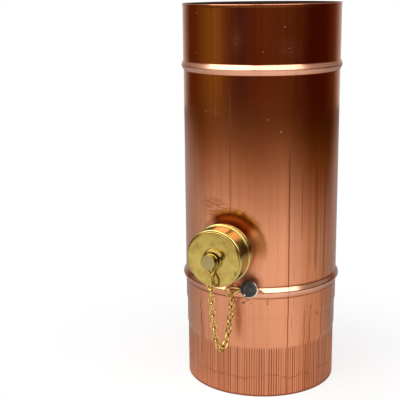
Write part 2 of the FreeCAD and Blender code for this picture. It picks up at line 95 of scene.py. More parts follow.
# Corners of the turned pieces: radius, distance from the pipe's axis, rounding; AXIS is the least radius
AXIS = 0.02
CAP_BORE = 16.925
CAP_PLATE = 73.2
CAP_CORNERS = (
    (CAP_BORE, CAP_PLATE, 0.0),
    (CAP_BORE, 61.5, 0.3),
    (18.7, 61.5, 0.85),
    (18.7, 63.7, 0.85),
    (18.0, 63.75, 0.15),
    (17.95, 63.9, 0.1),
    (17.95, 75.0, 1.2),
    (16.7, 75.0, 0.05),
    (16.7, 75.7, 0.4),
    (6.3, 75.7, 0.25),
    (6.3, 77.7, 1.3),
    (3.2, 77.7, 0.3),
    (3.2, 80.9, 0.2),
    (4.6, 80.9, 0.25),
    (4.6, 83.4, 0.4),
    (AXIS, 83.4, 0.0),
)
OUTLET_CORNERS = (
    (THREAD_RADIUS - 1.0, THREAD_START, 0.0),
    (17.7, THREAD_START, 0.3),
    (17.7, NECK_REACH, 0.3),
    (16.25, NECK_REACH, 0.1),
    (16.25, NECK_REACH - 4.0, 0.2),
    (12.5, NECK_REACH - 4.0, 0.2),
    (12.5, THREAD_END, 0.3),
    (THREAD_RADIUS - THREAD_DEPTH, THREAD_END, 0.0),
)
RIVET_CORNERS = (
    (AXIS, 47.9, 0.0),
    (3.4, 47.9, 0.5),
    (3.4, 49.1, 0.2),
    (2.0, 49.1, 0.0),
    (2.0, 53.8, 0.2),
    (5.5, 53.8, 0.4),
    (5.5, 55.8, 0.75),
    (AXIS, 55.8, 0.0),
)


def clamp(value, low=0.0, high=1.0):
    """A value kept between two limits."""
    return max(low, min(high, value))


def ease(value):
    """A smooth step from 0 to 1."""
    share = clamp(value)
    return share * share * (3 - 2 * share)


def spread(start, finish, step):
    """Even values from start to finish, no more than step apart, without the last."""
    count = max(1, math.ceil(abs(finish - start) / step - 1e-6))
    return [start + (finish - start) * place / count for place in range(count)]


# Meshes

def add_object(name, data):
    """A new object in the scene."""
    made = bpy.data.objects.new(name, data)
    bpy.context.scene.collection.objects.link(made)
    return made


def add_piece(name, vertices, faces, material, body, nodes, sharp=None):
    """A mesh in millimetres, placed, painted and tied to its body."""
    mesh = bpy.data.meshes.new(name)
    mesh.from_pydata([vertex * MM for vertex in vertices], [], faces)
    mesh.validate()
    mesh.polygons.foreach_set("use_smooth", [True] * len(mesh.polygons))
    mesh.materials.append(material)
    clean_up(mesh, sharp)
    piece = add_object(name, mesh)
    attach(piece, body)
    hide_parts(*nodes)


def clean_up(mesh, sharp):
    """Removes loose points, turns all faces outwards and keeps edges sharp above an angle in degrees."""
    shape = bmesh.new()
    shape.from_mesh(mesh)
    loose = [vertex for vertex in shape.verts if not vertex.link_faces]
    bmesh.ops.delete(shape, geom=loose, context="VERTS")
    bmesh.ops.recalc_face_normals(shape, faces=shape.faces)
    for edge in shape.edges if sharp else ():
        if len(edge.link_faces) == 2 and edge.calc_face_angle(0.0) > math.radians(sharp):
            edge.smooth = False
    shape.to_mesh(mesh)
    shape.free()


def ring_faces(low, high):
    """Quads between two closed rings, each a row of point numbers."""
    faces = []
    for place in range(len(low)):
        after = (place + 1) % len(low)
        faces.append((low[place], low[after], high[after], high[place]))
    return faces


def grid_faces(rows, columns, first=0):
    """Quads between rows of points that run round."""
    faces = []
    for row in range(rows - 1):
        low = first + row * columns
        high = low + columns
        faces += ring_faces(range(low, high), range(high, high + columns))
    return faces


def round_point(radius, angle, z):
    """A point at an angle from the front, round the pipe's axis."""
    return Vector((radius * math.sin(angle), -radius * math.cos(angle), z))


# The pipe wall

def bead_height(z, bead):
    """How far a bead stands out at a height: a round crest, straight flanks and round feet."""
    sine = math.sin(math.radians(bead.slope))
    cosine = math.cos(math.radians(bead.slope))
    rounds = bead.crest + bead.fillet
    flank = (bead.rise - rounds * (1 - cosine)) / sine
    reach = rounds * sine + flank * cosine
    away = abs(z - bead.middle)
    if away >= reach:
        return 0.0
    if away <= bead.crest * sine:
        return bead.rise - bead.crest + math.sqrt(bead.crest ** 2 - away ** 2)
    if away >= reach - bead.fillet * sine:
        return bead.fillet - math.sqrt(bead.fillet ** 2 - (reach - away) ** 2)
    return bead.rise - bead.crest * (1 - cosine) - (away - bead.crest * sine) * sine / cosine


def plain_radius(z):
    """The wall's outside radius at a height, without its waves."""
    if z <= SPIGOT_LENGTH:
        return SPIGOT_RADIUS
    if z <= COLLAR_TOP:
        return SPIGOT_RADIUS + (COLLAR_RADIUS - SPIGOT_RADIUS) * ease((z - SPIGOT_LENGTH) / STEP_RISE)
    if z <= COLLAR_TOP + STEP_RISE:
        return COLLAR_RADIUS + (PIPE_RADIUS - COLLAR_RADIUS) * ease((z - COLLAR_TOP) / STEP_RISE)
    radius = PIPE_RADIUS + bead_height(z, LOW_BEAD) + bead_height(z, TOP_BEAD)
    radius += (SOCKET_RADIUS - PIPE_RADIUS) * ease((z - TOP_BEAD.middle) / STEP_RISE)
    return radius + MOUTH_FLARE * ease((z - PIPE_HEIGHT + MOUTH_LENGTH) / MOUTH_LENGTH)


# Waves of the rolled sheet: how often round it, length up it, height, shift
WAVES = ((2.2, 46.0, 0.05, 0.0), (6.0, 19.0, 0.012, 9.0))


def unevenness(angle, z):
    """The waves that the rolled sheet has, in millimetres."""
    total = 0.0
    for often, length, height, shift in WAVES:
        place = Vector((math.sin(angle) * often + shift, math.cos(angle) * often, z / length))
        total += noise.noise(place) * height
    return total


def closeness(distance, reach, margin):
    """1 close to a place, easing to 0 away from it."""
    return ease(margin - distance / reach)


def wall_point(angle, z):
    """A point on the outside of the wall, which has no waves near its beads and ends."""
    near_bead = max(
        closeness(abs(z - LOW_BEAD.middle), 6.0, 1.4),
        closeness(abs(z - TOP_BEAD.middle), 5.0, 1.4),
    )
    near_end = max(closeness(PIPE_HEIGHT - z, 5.0, 1.2), closeness(z - SPIGOT_LENGTH, 6.0, 1.2))
    radius = plain_radius(z)
    radius += unevenness(angle, z) * (1 - near_bead) * (1 - near_end)
    return on_seat(round_point(radius, angle, z))


def on_seat(point):
    """Flattens the wall under the rivet, where the bead was pressed back."""
    out = point.dot(RIVET_OUT)
    away = math.hypot(point.dot(RIVET_SIDE), point.z - RIVET_Z)
    if away > SEAT_EDGE or out < 0:
        return point
    share = 1 - ease((away - SEAT_FLAT) / (SEAT_EDGE - SEAT_FLAT))
    return point + RIVET_OUT * (min(0.0, SEAT_FACE - out) * share)


# Columns round the wall, the window in it where the neck is drawn out, and the neck's rings
COLUMNS = 360
WINDOW_COLUMNS = 28
WINDOW_LOW = 74.8
WINDOW_HIGH = 121.2
NECK_RINGS = (("wall", 10), ("fillet", 14), ("tube", 5), ("lip", 1))

# Rows up the wall: from, to and the step between them, close together at the beads and steps
WALL_ROWS = (
    (SPIGOT_LENGTH, 38.0, 0.75),
    (38.0, COLLAR_TOP, 3.0),
    (COLLAR_TOP, 55.0, 0.6),
    (55.0, 66.0, 2.2),
    (66.0, WINDOW_LOW, 0.28),
    (WINDOW_LOW, WINDOW_HIGH, 1.0),
    (WINDOW_HIGH, 203.2, 2.4),
    (203.2, 212.4, 0.25),
    (212.4, 216.0, 0.9),
    (216.0, 243.0, 3.0),
    (243.0, PIPE_HEIGHT, 0.6),
)

# Steps round the top edge, and heights of the rings inside the pipe from the top down
RIM_STEPS = 5
INSIDE_HEIGHTS = (
    244.8, 243.0, 240.0, 225.0, 212.0,
    *spread(211.0, 204.5, 0.6),
    200.0, 170.0, 140.0, 122.0, 98.0, 80.0,
    *spread(76.0, 66.0, 0.8),
    60.0, 55.0, 53.0, 51.0, 42.0, 37.0, 35.0, SPIGOT_LENGTH,
)


def wall_heights():
    """Heights of the rows of the wall."""
    rows = []
    for low, high, step in WALL_ROWS:
        rows += spread(low, high, step)
    return rows + [PIPE_HEIGHT]


def in_window(column):
    """Whether a column of points is one of the window's."""
    return column <= WINDOW_COLUMNS or column >= COLUMNS - WINDOW_COLUMNS


def make_pipe(material):
    """The outside of the pipe, with a drawn neck in a window of its rows, and its inside."""
    rows = wall_heights()
    low_row = rows.index(WINDOW_LOW)
    high_row = rows.index(WINDOW_HIGH)
    vertices = []
    for z in rows:
        for column in range(COLUMNS):
            vertices.append(wall_point(2 * math.pi * column / COLUMNS, z))
    faces = []
    for row in range(len(rows) - 1):
        low = row * COLUMNS
        high = low + COLUMNS
        for column in range(COLUMNS):
            after = (column + 1) % COLUMNS
            if low_row <= row < high_row and in_window(column) and in_window(after):
                continue
            faces.append((low + column, low + after, high + after, high + column))
    add_neck(vertices, faces, window_edge(low_row, high_row))
    add_rim(vertices, faces, len(rows) - 1)
    add_piece("copper_pipe", vertices, faces, material, "diverter", ["pipe_body"])


def window_edge(low_row, high_row):
    """Numbers of the points round the window, anticlockwise as seen from outside."""
    edge = []
    for column in range(-WINDOW_COLUMNS, WINDOW_COLUMNS):
        edge.append(low_row * COLUMNS + column % COLUMNS)
    for row in range(low_row, high_row):
        edge.append(row * COLUMNS + WINDOW_COLUMNS)
    for column in range(WINDOW_COLUMNS, -WINDOW_COLUMNS, -1):
        edge.append(high_row * COLUMNS + column % COLUMNS)
    for row in range(high_row, low_row, -1):
        edge.append(row * COLUMNS + COLUMNS - WINDOW_COLUMNS)
    return edge


def neck_wall(across, up):
    """A point of the wall as seen along the outlet."""
    angle = math.asin(clamp(across / PIPE_RADIUS, -1.0, 1.0))
    return wall_point(angle, OUTLET_Z + up)


def add_neck(vertices, faces, edge):
    """Rings from the window's edge in to the neck's foot, up its fillet and out to its end."""
    starts = [(vertices[number].x, vertices[number].z - OUTLET_Z) for number in edge]
    ring = edge
    for kind, count in NECK_RINGS:
        for step in range(1, count + 1):
            first = len(vertices)
            for across, up in starts:
                vertices.append(neck_point(kind, step / count, across, up))
            after = range(first, len(vertices))
            faces += ring_faces(ring, after)
            ring = after


def neck_point(kind, share, across, up):
    """A point of the neck on one of its rings, in line with a point of the window's edge."""
    turn = math.atan2(up, across)
    cosine = math.cos(turn)
    sine = math.sin(turn)
    if kind == "wall":
        side = across + (NECK_FOOT * cosine - across) * share
        rise = up + (NECK_FOOT * sine - up) * share
        return neck_wall(side, rise)
    if kind == "fillet":
        bend = share * math.pi / 2
        radius = NECK_FOOT - NECK_FILLET * math.sin(bend)
        point = neck_wall(radius * cosine, radius * sine)
        point.x = radius * cosine
        point.y -= NECK_FILLET * (1 - math.cos(bend))
        return point
    if kind == "tube":
        start = neck_wall(NECK_RADIUS * cosine, NECK_RADIUS * sine).y - NECK_FILLET
        out = start + (-NECK_REACH - start) * share
        return Vector((NECK_RADIUS * cosine, out, OUTLET_Z + NECK_RADIUS * sine))
    inner = NECK_RADIUS - SHEET
    return Vector((inner * cosine, -NECK_REACH, OUTLET_Z + inner * sine))


def add_rim(vertices, faces, row):
    """The rounded top edge and the inside of the pipe."""
    top = SOCKET_RADIUS + MOUTH_FLARE
    rings = []
    for step in range(1, RIM_STEPS):
        bend = math.pi * step / RIM_STEPS
        inward = SHEET / 2 * (1 - math.cos(bend))
        rings.append((top - inward, PIPE_HEIGHT - RIM_ROUND + RIM_ROUND * math.sin(bend)))
    rings += [(plain_radius(z) - SHEET, z) for z in INSIDE_HEIGHTS]
    ring = range(row * COLUMNS, (row + 1) * COLUMNS)
    for radius, z in rings:
        first = len(vertices)
        for column in range(COLUMNS):
            vertices.append(round_point(radius, 2 * math.pi * column / COLUMNS, z))
        after = range(first, len(vertices))
        faces += ring_faces(ring, after)
        ring = after


# Rings of the fluted end, points to a flute, and how deep the flutes are inside
SPIGOT_HEIGHTS = (0.0, 0.25, 8.0, 16.0, 24.0, 28.5, 30.0, 31.0, 32.0, 33.0, SPIGOT_LENGTH)
FLUTE_POINTS = 8
INNER_FLUTE = 0.6


def chance(place, row):
    """A smooth random value along a row."""
    return noise.noise(Vector((place, row, 0.0)))


def flute_radius(angle, z, wall, share):
    """Radius of the fluted end: grooves of uneven depth, about a millimetre and a half apart."""
    number = math.floor(angle * FLUTES / (2 * math.pi))
    depth = 0.55 + 0.75 * chance(number * 1.7, 3.0)
    patch = 0.6 + 0.8 * chance(number * 0.09, 5.0)
    start = SPIGOT_LENGTH + 1.2 * chance(number * 0.6, 8.0) - 1.0
    depth = FLUTE_DEPTH * clamp(depth * patch) * ease((start - z) / 2.2)
    wave = 0.5 - 0.5 * math.cos(angle * FLUTES)
    return wall - share * depth * wave ** 1.6


def make_spigot(material):
    """The lower end, fluted all round so that it goes into the next pipe."""
    columns = FLUTES * FLUTE_POINTS
    rings = len(SPIGOT_HEIGHTS)
    rows = [(z, SPIGOT_RADIUS, 1.0) for z in SPIGOT_HEIGHTS]
    rows += [(z, SPIGOT_RADIUS - SHEET, INNER_FLUTE) for z in reversed(SPIGOT_HEIGHTS)]
    vertices = []
    for z, wall, share in rows:
        for column in range(columns):
            angle = 2 * math.pi * column / columns
            vertices.append(round_point(flute_radius(angle, z, wall, share), angle, z))
    faces = grid_faces(rings, columns)
    faces += grid_faces(rings, columns, rings * columns)
    last = (len(rows) - 1) * columns
    for column in range(columns):
        after = (column + 1) % columns
        faces.append((column, last + column, last + after, after))
    add_piece("copper_spigot", vertices, faces, material, "diverter", ["pipe_body"])


# Turned pieces

CAP_SEGMENTS = 144
OUTLET_SEGMENTS = 96
RIVET_SEGMENTS = 64
THREAD_ROWS = 110


def lathe(profile, segments, first=0):
    """Points and faces of a profile of (radius, distance) turned about +Z."""
    vertices = []
    for radius, along in profile:
        for column in range(segments):
            angle = 2 * math.pi * column / segments
            vertices.append(Vector((radius * math.cos(angle), radius * math.sin(angle), along)))
    return vertices, grid_faces(len(profile), segments, first)


def rounded(corners, steps):
    """A profile with its corners rounded: each corner is (radius, distance, rounding)."""
    made = []
    for number, (radius, along, bend) in enumerate(corners):
        here = Vector((radius, along))
        if bend <= 0 or number in (0, len(corners) - 1):
            made.append((radius, along))
            continue
        before = Vector(corners[number - 1][:2])
        after = Vector(corners[number + 1][:2])
        start = here + (before - here).normalized() * bend
        finish = here + (after - here).normalized() * bend
        for step in range(steps + 1):
            share = step / steps
            point = start * (1 - share) ** 2 + here * 2 * share * (1 - share) + finish * share ** 2
            made.append((point.x, point.y))
    return made


def thicken(profile, step):
    """Adds points on the long straight runs of a profile."""
    made = [profile[0]]
    for finish in profile[1:]:
        start = Vector(made[-1])
        run = Vector(finish) - start
        count = max(1, math.ceil(run.length / step))
        for place in range(1, count + 1):
            point = start + run * (place / count)
            made.append((point.x, point.y))
    return made


def outlet_frame(vertices):
    """Turns points from +Z to the outlet's axis."""
    return [Vector((v.x, -v.z, OUTLET_Z + v.y)) for v in vertices]


def rivet_frame(vertices):
    """Turns points from +Z to the rivet's axis."""
    placed = []
    for v in vertices:
        point = RIVET_OUT * v.z + RIVET_SIDE * v.x
        placed.append(Vector((point.x, point.y, RIVET_Z + v.y)))
    return placed


def make_cap(material):
    """The cap with its knob, and the plate that closes its bore."""
    vertices, faces = lathe(thicken(rounded(CAP_CORNERS, 5), 1.6), CAP_SEGMENTS)
    plate, plate_faces = lathe([(AXIS, CAP_PLATE), (CAP_BORE, CAP_PLATE)], CAP_SEGMENTS, len(vertices))
    placed = outlet_frame(vertices + plate)
    faces += plate_faces
    add_piece("brass_cap", placed, faces, material, "cap", ["screw_cap"], 50)


def thread_radius(along, turn):
    """Radius of the outlet's thread at a share of a turn, fading out at both ends."""
    fade = ease((along - THREAD_START) / 1.2) * ease((THREAD_END - along) / 0.9)
    phase = (along / THREAD_PITCH + turn) % 1.0
    tooth = clamp(abs(2 * phase - 1) * 1.25 - 0.12)
    return THREAD_RADIUS - THREAD_DEPTH * (1 - tooth * fade)


def make_nipple(material):
    """The outlet: a shouldered tube with a cut thread."""
    vertices, faces = lathe(thicken(rounded(OUTLET_CORNERS, 3), 2.5), OUTLET_SEGMENTS)
    faces += grid_faces(THREAD_ROWS, OUTLET_SEGMENTS, len(vertices))
    for row in range(THREAD_ROWS):
        along = THREAD_START + (THREAD_END - THREAD_START) * row / (THREAD_ROWS - 1)
        for column in range(OUTLET_SEGMENTS):
            turn = column / OUTLET_SEGMENTS
            radius = thread_radius(along, turn)
            angle = 2 * math.pi * turn
            vertices.append(Vector((radius * math.cos(angle), radius * math.sin(angle), along)))
    placed = outlet_frame(vertices)
    nodes = ["outlet_nipple"]
    add_piece("brass_outlet", placed, faces, material, "diverter", nodes, 40)


def make_rivet(material):
    """The rivet with its head, and its closed end inside the pipe."""
    vertices, faces = lathe(thicken(rounded(RIVET_CORNERS, 5), 0.8), RIVET_SEGMENTS)
    placed = rivet_frame(vertices)
    add_piece("rivet", placed, faces, material, "diverter", ["chain_rivet"], 50)


# Wire pieces, made round from the CAD's eight-sided ones

def make_wire(node, body, material, wire, growth):
    """A rounded copy of a wire node, grown by a share of its radius."""
    shape = bmesh.new()
    shape.from_mesh(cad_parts[node].data)
    bmesh.ops.remove_doubles(shape, verts=shape.verts, dist=0.00001)
    bmesh.ops.join_triangles(
        shape, faces=shape.faces, angle_face_threshold=0.6, angle_shape_threshold=3.1
    )
    bmesh.ops.recalc_face_normals(shape, faces=shape.faces)
    shape.normal_update()
    grow = wire * MM / 2 * growth
    for vertex in shape.verts:
        vertex.co += vertex.normal * grow
    mesh = bpy.data.meshes.new(node + "_wire")
    shape.to_mesh(mesh)
    shape.free()
    mesh.polygons.foreach_set("use_smooth", [True] * len(mesh.polygons))
    mesh.materials.append(material)
    piece = add_object(node + "_wire", mesh)
    smooth = piece.modifiers.new("round", "SUBSURF")
    smooth.levels = 2
    smooth.render_levels = 2
    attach(piece, body)
    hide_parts(node)


# Materials

class Paint:
    """Short ways to add nodes to one material or world."""

    def __init__(self, owner):
        owner.use_nodes = True
        self.tree = owner.node_tree
        self.tree.nodes.clear()

    def node(self, kind, inputs=None, **settings):
        """A new node with its settings, and its inputs linked or set by name or number."""
        made = self.tree.nodes.new(kind)
        for name, value in settings.items():
            setattr(made, name, value)
        for key, value in (inputs or {}).items():
            if isinstance(value, bpy.types.NodeSocket):
                self.tree.links.new(value, made.inputs[key])
            else:
                made.inputs[key].default_value = value
        return made

    def place(self, kind="Object"):
        """The place of the point that is shaded, or its normal or direction."""
        return self.node("ShaderNodeTexCoord").outputs[kind]

    def math(self, operation, first, second=0.0, third=0.0):
        inputs = {0: first, 1: second, 2: third}
        return self.node("ShaderNodeMath", inputs, operation=operation).outputs[0]

    def times(self, first, second):
        return self.math("MULTIPLY", first, second)

    def less(self, first, second):
        return self.math("SUBTRACT", first, second)

    def plus(self, mask, amount, base):
        """A base to which a mask adds an amount."""
        return self.math("MULTIPLY_ADD", mask, amount, base)

    def off(self, value, middle):
        """How far a value is from a middle, on either side."""
        return self.math("ABSOLUTE", self.less(value, middle))

    def strongest(self, *masks):
        """The strongest of several masks."""
        total = masks[0]
        for mask in masks[1:]:
            total = self.math("MAXIMUM", total, mask)
        return total

    def vector(self, operation, first, second=(0.0, 0.0, 0.0)):
        made = self.node("ShaderNodeVectorMath", {0: first, 1: second}, operation=operation)
        return made.outputs["Value" if operation in ("LENGTH", "DOT_PRODUCT") else "Vector"]

    def join(self, x, y, z):
        return self.node("ShaderNodeCombineXYZ", {0: x, 1: y, 2: z}).outputs[0]

    def split(self, vector):
        return self.node("ShaderNodeSeparateXYZ", {0: vector}).outputs

    def turn_from_front(self, x, y):
        """The angle of a place round the axis, with 0 at the front."""
        return self.math("ARCTAN2", x, self.times(y, -1.0))

    def span(self, value, low, high, first=0.0, last=1.0):
        """Maps low to high smoothly onto first to last."""
        inputs = {"Value": value, "From Min": low, "From Max": high, "To Min": first, "To Max": last}
        made = self.node("ShaderNodeMapRange", inputs, interpolation_type="SMOOTHSTEP")
        return made.outputs["Result"]

    def fade(self, value, low, high, start=1.0):
        """Maps low to high smoothly onto start to 0."""
        return self.span(value, low, high, start, 0.0)

    def mix(self, share, first, second):
        """A blend of two colours."""
        inputs = {"Factor": share, "A": solid(first), "B": solid(second)}
        return self.node("ShaderNodeMix", inputs, data_type="RGBA").outputs["Result"]

    def noise(self, place, scale, detail, rough):
        inputs = {"Vector": place, "Scale": scale, "Detail": detail, "Roughness": rough}
        return self.node("ShaderNodeTexNoise", inputs).outputs["Fac"]

    def bump(self, height, distance, strength, normal=None):
        inputs = {"Height": height, "Distance": distance, "Strength": strength}
        if normal is not None:
            inputs["Normal"] = normal
        return self.node("ShaderNodeBump", inputs).outputs["Normal"]

    def blend(self, share, first, second):
        """A blend of two shader nodes."""
        return self.node("ShaderNodeMixShader", {0: share, 1: first.outputs[0], 2: second.outputs[0]})

    def finish(self, kind, shader):
        """Links a shader node to the output."""
        self.node(kind, {"Surface": shader.outputs[0]})

    def surface(self, colour, metal, rough, normal):
        """The finished surface of a piece."""
        inputs = {"Base Color": solid(colour), "Metallic": metal, "Roughness": rough, "Normal": normal}
        self.finish("ShaderNodeOutputMaterial", self.node("ShaderNodeBsdfPrincipled", inputs))


def solid(colour):
    """A colour with its alpha, or a link as it is."""
    if isinstance(colour, bpy.types.NodeSocket):
        return colour
    return (*colour[:3], 1.0)


def new_material(name):
    """A material and the paint that fills it."""
    material = bpy.data.materials.new(name)
    return material, Paint(material)


# Copper

COPPER = (0.69, 0.30, 0.165)
STREAK = (0.55, 0.20, 0.09)
FINE_STREAK = (0.46, 0.15, 0.065)
RIGHT_BAND = (0.50, 0.155, 0.05)
CLOUDED = (0.60, 0.23, 0.11)
HEAT_EDGE = (0.42, 0.15, 0.03)
HEAT_BROWN = (0.45, 0.14, 0.01)
# Heat tint darkened with painted shade above the neck, under the cap
HEAT_RED_AND_SHADE = (0.10, 0.012, 0.0008)
# Stain marks, and the painted shadow round the rivet
STAIN_AND_SHADOW = (0.13, 0.035, 0.012)
# Painted shade in the lower bead's feet
BEAD_FOOT_SHADE = (0.24, 0.07, 0.025)
FINE_GRAIN = (0.42, 0.13, 0.05)
# Painted shade and reflection of the hanging chain
CHAIN_SHADE = (0.40, 0.115, 0.03)
FLUTED_SHADE = (0.53, 0.185, 0.082)
GROOVE_SHADE = (0.17, 0.048, 0.02)
TIDE = (0.24, 0.075, 0.03)
LOWER_RIM_SHADE = (0.20, 0.06, 0.025)
SPECK = (0.75, 0.50, 0.36)
# Paler copper painted on the beads' crests as a highlight
BEAD_HIGHLIGHT = (0.85, 0.55, 0.42)
INSIDE = (0.16, 0.055, 0.028)
MOUTH_SHADE = (0.02, 0.004, 0.002)

# Upright dark lines: place round the wall, width, lower and upper end, wander, strength
LINES = (
    (36.9, 0.55, -10.0, 165.0, 0.5, 0.75),
    (-0.2, 0.4, 118.0, 203.0, 0.2, 0.65),
    (0.9, 0.25, 125.0, 190.0, 0.2, 0.35),
    (45.8, 0.5, 103.0, 150.0, 0.4, 0.5),
    (57.2, 1.6, 82.0, 150.0, 1.0, 0.42),
    (65.6, 1.4, 74.0, 150.0, 1.0, 0.42),
    (61.5, 0.6, 78.0, 140.0, 0.6, 0.3),
    (52.0, 0.5, 84.0, 140.0, 0.6, 0.3),
    (40.7, 0.45, 78.0, 84.0, 1.0, 0.8),
    (40.7, 0.4, 58.0, 66.0, 1.5, 0.65),
    (39.5, 0.4, 45.0, 55.0, 3.0, 0.65),
    (49.0, 0.6, -5.0, 62.0, 1.5, 0.45),
    (53.4, 0.9, -5.0, 55.0, 1.5, 0.5),
    (64.5, 0.8, -5.0, 64.0, 1.5, 0.45),
    (-24.8, 0.6, 20.0, 64.0, 4.0, 0.8),
    (-22.8, 0.45, 8.0, 50.0, 3.0, 0.65),
)

# Dark spots, stain marks and a painted shadow round the rivet: place round the wall, height, half width,
# half height, strength
SPOTS = (
    (8.3, 63.4, 1.5, 1.1, 0.85),
    (9.9, 64.4, 1.2, 0.7, 0.7),
    (11.4, 65.4, 2.0, 0.6, 0.7),
    (13.3, 63.2, 0.8, 0.6, 0.55),
    (5.2, 66.0, 0.9, 1.2, 0.5),
    (23.4, 63.0, 0.6, 1.7, 0.8),
    (23.5, 64.9, 2.6, 0.6, 0.55),
    (53.6, 57.5, 0.8, 2.2, 0.6),
    # Painted shadow round the rivet's head
    (RIVET_ACROSS - 0.8, RIVET_Z + 0.8, 9.0, 9.0, 0.85),
    (60.0, 52.0, 2.2, 2.4, 0.4),
)

# Single pale specks and scuffed places: place round the wall, height, half width, half height
SPECKS = (
    (-25.4, 240.7, 0.4, 0.4),
    (32.8, 232.7, 0.4, 0.4),
    (19.9, 218.6, 0.35, 0.4),
    (-25.9, 216.9, 0.4, 0.35),
    (31.0, 171.1, 0.5, 0.5),
    (-17.8, 182.4, 0.5, 0.4),
    (23.0, 178.6, 0.45, 0.35),
)
SCUFFS = (
    (35.5, 220.0, 13.0, 9.0),
    (-11.5, 182.0, 8.0, 3.0),
    (4.0, 226.0, 5.0, 12.0),
)

# Corners below and above the lower bead, where shade is painted
BEAD_FEET = (LOW_BEAD.middle - 3.8, LOW_BEAD.middle + 3.7)


class Wall:
    """Places and marks on the unrolled wall, in millimetres round and up."""

    def __init__(self, paint):
        self.paint = paint
        self.place = paint.place()
        x, y, z = paint.split(self.place)
        self.angle = paint.turn_from_front(x, y)
        self.across = paint.times(self.angle, PIPE_RADIUS)
        self.up = paint.times(z, 1 / MM)
        self.flat = paint.join(self.across, self.up, 0.0)
        slow = paint.noise(paint.join(0.0, self.up, 0.0), 0.14, 3.0, 0.6)
        self.wobble = paint.less(slow, 0.5)

    def grain(self, across, up, detail=3.0, rough=0.55):
        """Noise with its own scale round and up the wall."""
        place = self.paint.vector("MULTIPLY", self.flat, (across, up, 1.0))
        return self.paint.noise(place, 1.0, detail, rough)

    def line(self, across, width, low, high, wander):
        """An upright line that fades at both ends."""
        paint = self.paint
        place = paint.plus(self.wobble, wander, paint.less(self.across, across))
        mask = paint.fade(paint.math("ABSOLUTE", place), width * 0.4, width)
        mask = paint.times(mask, paint.span(self.up, low - 4.0, low + 6.0))
        return paint.times(mask, paint.fade(self.up, high - 12.0, high + 6.0))

    def spot(self, across, up, width, height, soft=0.4):
        """A round or long spot with a soft edge."""
        paint = self.paint
        place = paint.vector("SUBTRACT", self.flat, (across, up, 0.0))
        place = paint.vector("DIVIDE", place, (width, height, 1.0))
        return paint.fade(paint.vector("LENGTH", place), soft, 1.0)


def sheet_colour(paint, wall, cloud):
    """Drawn copper, streaked along the pipe and darker in a band at the right."""
    streaks = paint.span(wall.grain(0.35, 0.012, 4.0, 0.65), 0.4, 0.8, 0.0, 0.6)
    colour = paint.mix(streaks, COPPER, STREAK)
    fine = paint.span(wall.grain(2.2, 0.012, 2.0), 0.45, 0.75, 0.0, 0.16)
    colour = paint.mix(fine, colour, FINE_STREAK)
    band = paint.times(paint.span(wall.across, 43.0, 52.0), paint.fade(wall.across, 74.0, 90.0))
    band = paint.times(band, paint.span(wall.grain(0.7, 0.02), 0.35, 0.65, 0.35, 0.75))
    colour = paint.mix(band, colour, RIGHT_BAND)
    return paint.mix(paint.span(cloud, 0.45, 0.75, 0.0, 0.3), colour, CLOUDED)


def heat_tint_and_shade(paint, wall, colour):
    """The colours that the torch left above and beside the drawn neck, darkest above it with painted
    shade from the cap, and the dull zone round it.
    """
    place = paint.vector("SUBTRACT", wall.flat, (0.0, OUTLET_Z, 0.0))
    away = paint.vector("LENGTH", place)
    ragged = paint.plus(wall.grain(0.3, 0.3), 2.4, paint.less(away, 1.2))
    toward = paint.vector("NORMALIZE", place)
    beside = paint.span(paint.vector("DOT_PRODUCT", toward, (0.64, 0.77, 0.0)), 0.3, 0.7)
    above = paint.span(paint.vector("DOT_PRODUCT", toward, (0.12, 0.99, 0.0)), 0.6, 0.85)
    # Inner and outer distance, where, strength and colour; the dark red above the neck is heat tint with
    # painted shade from the cap in it
    tints = (
        (21.5, 25.0, beside, 0.75, HEAT_EDGE),
        (23.0, 27.0, above, 0.8, HEAT_BROWN),
        (20.5, 24.0, above, 0.97, HEAT_RED_AND_SHADE),
    )
    for inner, outer, where, strength, tint in tints:
        mask = paint.times(paint.fade(ragged, inner, outer), where)
        colour = paint.mix(paint.times(mask, strength), colour, tint)
    return colour, paint.fade(away, 20.0, 24.0)


def stain_and_shadow_mask(paint, wall):
    """The dark lines and spots: stain marks, and a painted shadow round the rivet."""
    masks = []
    for across, width, low, high, wander, strength in LINES:
        masks.append(paint.times(wall.line(across, width, low, high, wander), strength))
    for across, up, width, height, strength in SPOTS:
        masks.append(paint.times(wall.spot(across, up, width, height, 0.2), strength))
    return paint.strongest(*masks)


def bead_foot_shade(paint, wall, cloud, shaded_side, colour):
    """Painted shade along both feet of the lower bead, heaviest on its side by the cap."""
    patches = paint.strongest(paint.span(cloud, 0.3, 0.6, 0.35, 0.75), shaded_side)
    for foot in BEAD_FEET:
        near = paint.fade(paint.off(wall.up, foot), 0.1, 0.9)
        colour = paint.mix(paint.times(near, patches), colour, BEAD_FOOT_SHADE)
    return colour


def grain_and_chain_shade(paint, wall, colour):
    """Fine grain on the upper half, and painted shade and reflection of the chain below the outlet."""
    grain = paint.span(wall.grain(1.6, 0.006, 2.0), 0.4, 0.7)
    grain = paint.times(grain, paint.span(wall.up, 120.0, 190.0))
    colour = paint.mix(paint.times(grain, 0.45), colour, FINE_GRAIN)
    # Painted shade and reflection of the hanging chain on the wall
    chain_shade = paint.times(wall.spot(5.4, 52.0, 3.2, 17.0, 0.2), 0.6)
    return paint.mix(chain_shade, colour, CHAIN_SHADE)


